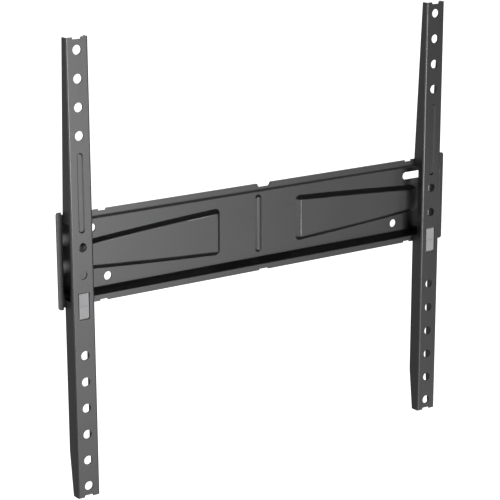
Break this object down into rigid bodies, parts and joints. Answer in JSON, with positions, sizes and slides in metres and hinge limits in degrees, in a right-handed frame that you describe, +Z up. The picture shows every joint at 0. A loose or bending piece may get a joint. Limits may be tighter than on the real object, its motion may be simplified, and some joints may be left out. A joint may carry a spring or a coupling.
{
  "type": "fixed tv wall bracket",
  "caption": "Slim fixed wall bracket for a flat screen: pressed wall plate with two drilled upright arms that hook over its lips, slide along it and lock by sprung latches.",
  "frame": {"origin": "centre of the wall plate on the wall plane", "axes": "+Y into the wall, so the front looks along -Y; +X along the plate to the right seen from the front; +Z up"},
  "size_m": [0.4446, 0.0256, 0.4215],
  "materials": {
    "plate_paint": "satin charcoal powder coat",
    "arm_paint": "satin charcoal powder coat",
    "latch_grey": "moulded light grey",
    "guide_black": "moulded black",
    "spring_steel": "bright spring steel"
  },
  "bodies": {
    "wall_plate": {"wall_plate": "plate_paint"},
    "left_arm": {"arm_left": "arm_paint", "hook_left": "arm_paint", "latch_guide_left": "guide_black", "latch_spring_left": "spring_steel"},
    "left_latch": {"latch_left": "latch_grey"},
    "right_arm": {"arm_right": "arm_paint", "hook_right": "arm_paint", "latch_guide_right": "guide_black", "latch_spring_right": "spring_steel"},
    "right_latch": {"latch_right": "latch_grey"}
  },
  "joints": [
    {"name": "left_arm_slide", "type": "slide", "parent": "wall_plate", "child": "left_arm", "axis": [1, 0, 0], "range_m": [-0.0028, 0.105]},
    {"name": "left_latch_slide", "type": "slide", "parent": "left_arm", "child": "left_latch", "axis": [0, 0, -1], "range_m": [0, 0.0011], "stiffness_N_per_m": 400, "springref_m": -0.004, "deforming": ["latch_spring_left"]},
    {"name": "right_arm_slide", "type": "slide", "parent": "wall_plate", "child": "right_arm", "axis": [1, 0, 0], "range_m": [-0.095, 0.0128]},
    {"name": "right_latch_slide", "type": "slide", "parent": "right_arm", "child": "right_latch", "axis": [0, 0, -1], "range_m": [0, 0.0011], "stiffness_N_per_m": 400, "springref_m": -0.004, "deforming": ["latch_spring_right"]}
  ]
}
